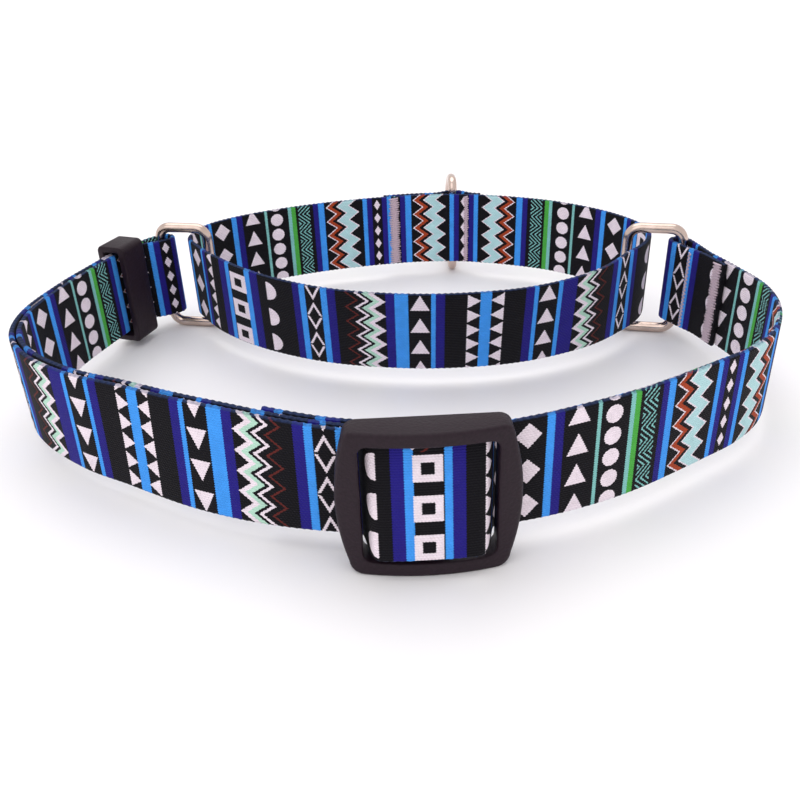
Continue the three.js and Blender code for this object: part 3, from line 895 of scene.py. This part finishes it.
loop_front = loop_piece("loop_front", "left_turn_end", "front", outer_loop, outer_loop, loop_lean)
loop_right = loop_piece("loop_right_turn", "front", "right_turn", outer_loop, outer_loop)
loop_right_out = loop_piece(
    "loop_back_right_outer", "right_turn", "right_back_out", inner_back_right, outer_loop)
loop_right_in = loop_piece(
    "loop_back_right_inner", "right_back_out", "right_back_in", inner_back_right, outer_loop)
TACK_SHARE = 0.10
left_tack_at = on["pocket"] - TACK_SHARE * (on["pocket"] - on["right_back_in"])
pocket = strap("leash_pocket_web", loop.cut(on["right_back_in"], left_tack_at), inner_back_right, outer_loop)
pocket_end = strap("leash_pocket_web_end", loop.cut(left_tack_at, on["pocket"]), inner_back_left, outer_loop)
loop_left_in = loop_piece("loop_back_left_inner", "pocket", "left_back_in", inner_back_left, outer_loop)
loop_left_out = loop_piece(
    "loop_back_left_outer", "left_back_in", "left_back_out", inner_back_left, outer_loop)
left_turn_stations = loop.cut(on["left_back_out"], loop.length + on["left_turn_end"])
loop_left = strap("loop_left_turn", left_turn_stations, wrapped_loop, wrapped_loop)

pocket_line = stretch(LOOP, 16, 19, True)
patch = Route([("pocket", offset(pocket_line, pocket_offset))])
pocket_patch = strap("leash_pocket_patch", patch.cut(0, patch.length), Print(20.0), Print(20.0))


# ---------------------------------------------------------------- threads
def tack(name, station, side, width=2.6, height=23.6, pitch=0.8, jag=0.7, radius=0.26, above=0.14, lean=None):
    """Zigzag sewing across the strap at a station: on its left face for side 1, its right face for -1."""
    p, n, _ = station
    along = Vector((n.y, -n.x))
    rng = random.Random(name)
    rows = int(height / pitch * 2)
    path = []
    for i in range(rows):
        z = MID_HEIGHT - height / 2 + i * pitch / 2
        reach = width / 2 + jag * rng.uniform(-0.5, 0.5)
        ends = (-reach, reach) if i % 2 else (reach, -reach)
        for k, t in enumerate((0.0, 0.12, 0.5, 0.88)):
            across = ends[0] + (ends[1] - ends[0]) * t
            lift = (-0.10, above, above * 1.5, above)[k]
            q = p + along * across + n * (side * (HALF_T + lift))
            level = z + pitch / 2 * t
            shift = lean(p.x, (level - MID_HEIGHT + HALF_W) / WEB_WIDTH) if lean else 0.0
            path.append(place(q.x, q.y + shift, level))
    normal = Vector((n.x, n.y, 0)) * side
    return tube(name, path, radius * MM, 6, THREAD, normal=normal)


def station_at(route, distance):
    i = route.index(distance)
    return (route.points[i], route.normals[i], distance)


RIGHT_TACK_AT = 4.8
RIGHT_SEAM_BACK = 12.3
END_TACK_BACK = 3.5
POCKET_TACK_AT = 4.4
right_tack = tack("tack_right_fold", station_at(neck, RIGHT_TACK_AT), 1, width=3.6)
seam_station = station_at(neck, at["right_bar"] - RIGHT_SEAM_BACK)
right_seam = tack("seam_right_fold", seam_station, 1, width=0.7, pitch=1.1, jag=0.1)
end_tack = tack("tack_end_fold", station_at(neck, at["end_fold"] - END_TACK_BACK), 1, lean=left_lean)
pocket_tack_left = tack("tack_pocket_left", station_at(loop, left_tack_at), 1, width=3.4)
right_pocket_station = station_at(loop, on["right_back_in"] + POCKET_TACK_AT)
pocket_tack_right = tack("tack_pocket_right", right_pocket_station, 1, width=1.4, jag=0.4)


# ---------------------------------------------------------------- wire rings
def corner(x, z, rx, rz, start, end, count):
    angles = [math.radians(start + (end - start) * i / count) for i in range(count + 1)]
    return [(x + rx * math.cos(a), z + rz * math.sin(a)) for a in angles]


def filled(outline, spacing=1.0):
    """A closed outline with extra points along its straight runs."""
    points = []
    for i, p in enumerate(outline):
        q = outline[(i + 1) % len(outline)]
        gap = math.dist(p, q)
        if gap < 1e-6:
            continue
        parts = max(1, int(gap / spacing))
        points += [(p[0] + (q[0] - p[0]) * k / parts, p[1] + (q[1] - p[1]) * k / parts) for k in range(parts)]
    return points


def rectangular_outline():
    r = 3.5
    right, top, bottom = 12.0, 29.5, 5.0
    return filled(corner(right, top, r, r, 0, 90, 10) + corner(r, top, r, r, 90, 180, 10)
                  + corner(r, bottom, r, r, 180, 270, 10) + corner(right, bottom, r, r, 270, 360, 10))


def leash_outline():
    r = 3.0
    half = MID_HEIGHT - WIRE / 2
    return filled(corner(4.0, MID_HEIGHT, 15.5, half, -90, 90, 48)
                  + corner(r, 33 - r, r, r, 90, 180, 8) + corner(r, 1.5 + r, r, r, 180, 270, 8))


def ring(name, outline, bar, turn, weld_at):
    """A wire ring in the upright plane through bar, with a low weld bead at one distance along it."""
    a = math.radians(turn)
    path = [place(bar[0] + x * math.cos(a), bar[1] + x * math.sin(a), z) for x, z in outline]
    normal = Vector((-math.sin(a), math.cos(a), 0))

    def swell(distance):
        gap = (distance - weld_at * MM) / (0.7 * MM)
        return 1 + 0.07 * math.exp(-gap * gap)

    return tube(name, path, WIRE / 2 * MM, 24, METAL, closed=True, normal=normal, swell=swell)


left_ring = ring("ring_left", rectangular_outline(), LEFT_BAR, LEFT_RING_TURN, 31)
right_ring = ring("ring_right", rectangular_outline(), RIGHT_BAR, RIGHT_RING_TURN, 31)
leash_bar = (LOOP[LEASH_KNOT][0], LOOP[LEASH_KNOT][1] + LEASH_BAR_OFFSET)
leash_ring = ring("ring_leash", leash_outline(), leash_bar, 90, 68)


# ---------------------------------------------------------------- moulded parts
def rounded_rectangle(half_width, half_height, radius, count=8):
    x = half_width - radius
    z = half_height - radius
    return (corner(x, z, radius, radius, 0, 90, count) + corner(-x, z, radius, radius, 90, 180, count)
            + corner(-x, -z, radius, radius, 180, 270, count)
            + corner(x, -z, radius, radius, 270, 360, count))


def bezier(a, b, c, count=12):
    return [tuple((1 - t) ** 2 * p + 2 * t * (1 - t) * q + t * t * r for p, q, r in zip(a, b, c))
            for t in (i / count for i in range(count))]


def barrel_outline(w=ADJUSTER_HALF_WIDTH, h=ADJUSTER_HALF_HEIGHT, c=3.0, bow=ADJUSTER_BOW):
    """The adjuster's front outline: level top and bottom, sides bowed outwards."""
    return ([(-w + c, -h)]
            + bezier((w - c, -h), (w - 0.3, -h), (w, -h + c))
            + bezier((w, -h + c), (bow, 0), (w, h - c), 24)
            + bezier((w, h - c), (w - 0.3, h), (w - c, h))
            + bezier((-w + c, h), (-w + 0.3, h), (-w, h - c))
            + bezier((-w, h - c), (-bow, 0), (-w, -h + c), 24)
            + bezier((-w, -h + c), (-w + 0.3, -h), (-w + c, -h)))


def ray_hit(outline, angle):
    """Where a ray from the middle crosses an outline."""
    c, s = math.cos(angle), math.sin(angle)
    for i, (x1, z1) in enumerate(outline):
        x2, z2 = outline[(i + 1) % len(outline)]
        d1 = c * z1 - s * x1
        d2 = c * z2 - s * x2
        if d1 <= 0 < d2:
            t = d1 / (d1 - d2)
            x, z = x1 + (x2 - x1) * t, z1 + (z2 - z1) * t
            if x * c + z * s > 0:
                return Vector((x, z))
    raise ValueError("the outline doesn't surround the middle")


def rim(outer, inner, section, depth, count=300):
    """A frame between two outlines, swept with a section of (from, inset, share of depth, y offset)."""
    vertices = []
    faces = []
    size = len(section)
    for i in range(count):
        angle = 2 * math.pi * (i + 0.5) / count
        o = ray_hit(outer, angle)
        q = ray_hit(inner, angle)
        inward = (q - o).normalized()
        for edge, inset, share, extra in section:
            p = o + inward * inset if edge == "o" else q - inward * inset
            vertices.append((p.x, -share * depth(p.x) + extra, p.y))
        for j in range(size):
            k = (j + 1) % size
            n = (i + 1) % count
            faces.append((i * size + j, n * size + j, n * size + k, i * size + k))
    return vertices, faces


def rounded_bar(half_width, front, back, half_height):
    """The hidden centre bar, a rounded oblong in section."""
    middle = (front + back) / 2
    depth = (back - front) / 2
    outline = [(x, middle + y) for x, y in rounded_rectangle(half_width, depth, depth * 0.8, 5)]
    n = len(outline)
    vertices = [(x, y, -half_height) for x, y in outline] + [(x, y, half_height) for x, y in outline]
    faces = [(i, (i + 1) % n, n + (i + 1) % n, n + i) for i in range(n)]
    faces += [tuple(reversed(range(n))), tuple(range(n, 2 * n))]
    return vertices, faces


SIDE_DEPTH = 3.4
CROWN = 14.4


def adjuster_depth(x):
    """How far the front face stands off the back plane, most in the middle."""
    t = (x + ADJUSTER_BOW) / (2 * ADJUSTER_BOW)
    return SIDE_DEPTH + CROWN * t * (1 - t)


ADJUSTER_SECTION = [
    ("o", 0.0, 0, -0.35), ("o", 0.0, 1, 0.75), ("o", 0.07, 1, 0.42), ("o", 0.26, 1, 0.16),
    ("o", 0.55, 1, 0.02), ("o", 1.1, 1, 0.0), ("i", 0.9, 1, 0.0), ("i", 0.45, 1, 0.05),
    ("i", 0.18, 1, 0.2), ("i", 0.03, 1, 0.45),
    ("i", 0.0, 1, 0.8), ("i", 0.0, 0, -0.4), ("i", 0.12, 0, -0.1), ("i", 0.4, 0, 0.0),
    ("o", 0.4, 0, 0.0), ("o", 0.1, 0, -0.1),
]


def moulded(name, parts, turn, centre, level=MID_HEIGHT):
    """Joins local meshes (x along the strap, y towards the wearer, z up) and stands them at a plan point."""
    vertices = []
    faces = []
    for part_vertices, part_faces in parts:
        base = len(vertices)
        faces += [tuple(base + i for i in face) for face in part_faces]
        vertices += part_vertices
    c, s = math.cos(turn), math.sin(turn)
    placed = [place(centre[0] + x * c - y * s, centre[1] + x * s + y * c, level + z) for x, y, z in vertices]
    piece = build(name, placed, faces, PLASTIC, sharp=38)
    return piece


window = rounded_rectangle(*WINDOW_HALF, WINDOW_CORNER)
adjuster_rim = rim(barrel_outline(), window, ADJUSTER_SECTION, adjuster_depth)
adjuster_bar = rounded_bar(BAR_HALF, BAR_FRONT, BAR_BACK, CENTRE_BAR_HALF_HEIGHT)
adjuster = moulded(
    "adjuster_body", [adjuster_rim, adjuster_bar], math.radians(ADJUSTER_ANGLE), adjuster_point(0, 0),
    ADJUSTER_HALF_HEIGHT)

KEEPER_HALF = (4.5, 15.25)
KEEPER_SLOT_HALF = (2.6, 13.35)
KEEPER_ALONG = 1.2
KEEPER_SHIFT = 0.6
KEEPER_SECTION = [
    ("o", 0.0, 0, -4.5), ("o", 0.0, 0, 4.5), ("o", 0.15, 0, 4.85), ("o", 0.5, 0, 5.0), ("i", 0.4, 0, 5.0),
    ("i", 0.12, 0, 4.88), ("i", 0.0, 0, 4.6), ("i", 0.0, 0, -4.6), ("i", 0.12, 0, -4.88), ("i", 0.4, 0, -5.0),
    ("o", 0.5, 0, -5.0), ("o", 0.15, 0, -4.85),
]
keeper_knot = Vector(LEFT_SPINE[9])
keeper_along = (keeper_knot - Vector(LEFT_SPINE[8])).normalized()
keeper_inward = Vector((keeper_along.y, -keeper_along.x))
keeper_centre = keeper_knot + keeper_along * KEEPER_ALONG + keeper_inward * KEEPER_SHIFT
keeper_outline = rounded_rectangle(*KEEPER_HALF, 1.6)
keeper_slot = rounded_rectangle(*KEEPER_SLOT_HALF, 0.8)
keeper_rim = rim(keeper_outline, keeper_slot, KEEPER_SECTION, lambda x: 0.0, 360)
keeper = moulded("keeper_loop", [keeper_rim], math.atan2(-keeper_along.x, keeper_along.y), keeper_centre)


# ---------------------------------------------------------------- bodies
def flat(route, distance):
    """The middle of a strap at a distance along its route."""
    p = route.points[route.index(distance)]
    return place(p.x, p.y, MID_HEIGHT)


def on_neck(mark):
    return flat(neck, at[mark])


def on_loop(mark):
    return flat(loop, on[mark])


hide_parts("neck_strap_right_front")
on_neck("right_side")
on_neck("right_front")
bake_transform(right_front)
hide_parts("neck_strap_left_front_outer")
on_neck("left_front_outer")
on_neck("pass")
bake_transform(left_front_outer)
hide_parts("neck_strap_left_front_inner")
on_neck("left_side_inner")
on_neck("left_front_inner")
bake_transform(left_front_inner)

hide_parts("neck_strap_right_side")
on_neck("right_side")
on_neck("right_fold")
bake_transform(right_side_piece)
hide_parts("neck_strap_left_side_outer")
on_neck("left_front_outer")
on_neck("left_side_outer")
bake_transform(left_side_outer)
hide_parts("neck_strap_left_side_inner")
on_neck("left_side_inner")
on_neck("left_fold")
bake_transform(left_side_inner)

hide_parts("control_loop_back_left")
on_loop("left_back_in")
on_loop("pocket")
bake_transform(loop_left_in)
on_loop("left_back_in")
on_loop("left_back_out")
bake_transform(loop_left_out)
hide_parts("control_loop_back_right")
on_loop("right_back_out")
on_loop("right_back_in")
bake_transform(loop_right_in)
on_loop("right_back_out")
on_loop("right_turn")
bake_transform(loop_right_out)

DRAW = 15.0
front_half = (LOOP[9][0] - LOOP[2][0]) / 2
front_middle = (LOOP[9][0] + LOOP[2][0]) / 2
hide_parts("control_loop_front")
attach(loop_front, "neck_band")
place(front_middle, 0, 0)
1 - DRAW / front_half
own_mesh(loop_front)

RIDES = [
    (right_tail, "right_end", ["neck_strap_right_fold"]), (right_turn, "right_end", []),
    (right_tack, "right_end", ["right_fold_bartack"]), (right_seam, "right_end", []),
    (loop_right, "right_end", ["control_loop_right_turn"]), (right_ring, "right_ring_body", ["right_ring"]),
    (left_turn_outer, "left_end", ["neck_strap_left_fold"]), (left_turn_inner, "left_end", []),
    (loop_left, "left_end", ["control_loop_left_turn"]), (left_ring, "left_ring_body", ["left_ring"]),
    (keeper, "keeper", ["strap_keeper"]), (adjuster, "adjuster", ["adjuster_frame"]),
    (web_pass, "adjuster", ["neck_strap_pass"]), (end_fold, "adjuster", ["neck_strap_end_fold"]),
    (end_tack, "adjuster", ["end_fold_bartack"]), (pocket, "leash_pocket", ["leash_pocket_inner"]),
    (pocket_end, "leash_pocket", []), (pocket_patch, "leash_pocket", ["leash_pocket_outer"]),
    (pocket_tack_left, "leash_pocket", ["pocket_bartack_left"]),
    (pocket_tack_right, "leash_pocket", ["pocket_bartack_right"]),
    (leash_ring, "leash_ring_body", ["leash_ring"]),
]
for piece, body, nodes in RIDES:
    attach(piece, body)
    if nodes:
        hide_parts(*nodes)


# ---------------------------------------------------------------- floor, light and camera
def floor_material():
    material, tree, shader = new_material("studio_floor")
    mottle = noise(tree, object_position(tree), 3.0, 2.0)
    colour = mixed(tree, mottle, linear((244, 242, 243)), linear((250, 248, 249)))
    tree.links.new(colour, shader.inputs["Base Color"])
    shader.inputs["Roughness"].default_value = 0.45
    shader.inputs["Specular IOR Level"].default_value = 0.25
    return material


FLOOR_HALF = 8.0
floor_corners = [Vector((x, y, 0)) for x, y in ((-1, -1), (1, -1), (1, 1), (-1, 1))]
floor = build("floor", floor_corners, [(0, 1, 2, 3)], floor_material())
floor.data.transform(Matrix.Scale(FLOOR_HALF, 4))

world = bpy.data.worlds.new("studio")
bpy.context.scene.world = world
world.use_nodes = True
world.node_tree.nodes["Background"].inputs["Color"].default_value = (1.0, 0.985, 0.99, 1)
world.node_tree.nodes["Background"].inputs["Strength"].default_value = 0.88


def sun(name, direction, strength, spread):
    """A soft distant light that shines from a direction."""
    light = bpy.data.lights.new(name, "SUN")
    light.energy = strength
    light.angle = math.radians(spread)
    lamp = bpy.data.objects.new(name, light)
    lamp.rotation_euler = Vector(direction).to_track_quat("Z", "Y").to_euler()
    bpy.context.scene.collection.objects.link(lamp)


sun("key", (-0.1, 0.3, 1.0), 1.0, 60)
sun("fill", (-0.45, -0.8, 0.8), 0.4, 50)

CAMERA_PLACE = Vector((0.000506, -0.219792, 0.11401))
CAMERA_PITCH = math.radians(29.96)
CAMERA_ROLL = -0.0346


def camera_matrix():
    forward = Vector((0, math.cos(CAMERA_PITCH), -math.sin(CAMERA_PITCH)))
    up = Vector((0, math.sin(CAMERA_PITCH), math.cos(CAMERA_PITCH)))
    right = Vector((1, 0, 0))
    c, s = math.cos(CAMERA_ROLL), math.sin(CAMERA_ROLL)
    matrix = Matrix((right * c + up * s, up * c - right * s, -forward)).transposed().to_4x4()
    matrix.translation = CAMERA_PLACE
    return matrix


camera_data = bpy.data.cameras.new("camera")
camera_data.sensor_width = 36.0
camera_data.lens = 37.7
camera_data.clip_start = 0.01
camera = bpy.data.objects.new("camera", camera_data)
bpy.context.scene.collection.objects.link(camera)
camera.matrix_world = camera_matrix()
bpy.context.scene.camera = camera
bpy.context.scene.view_settings.view_transform = "Standard"
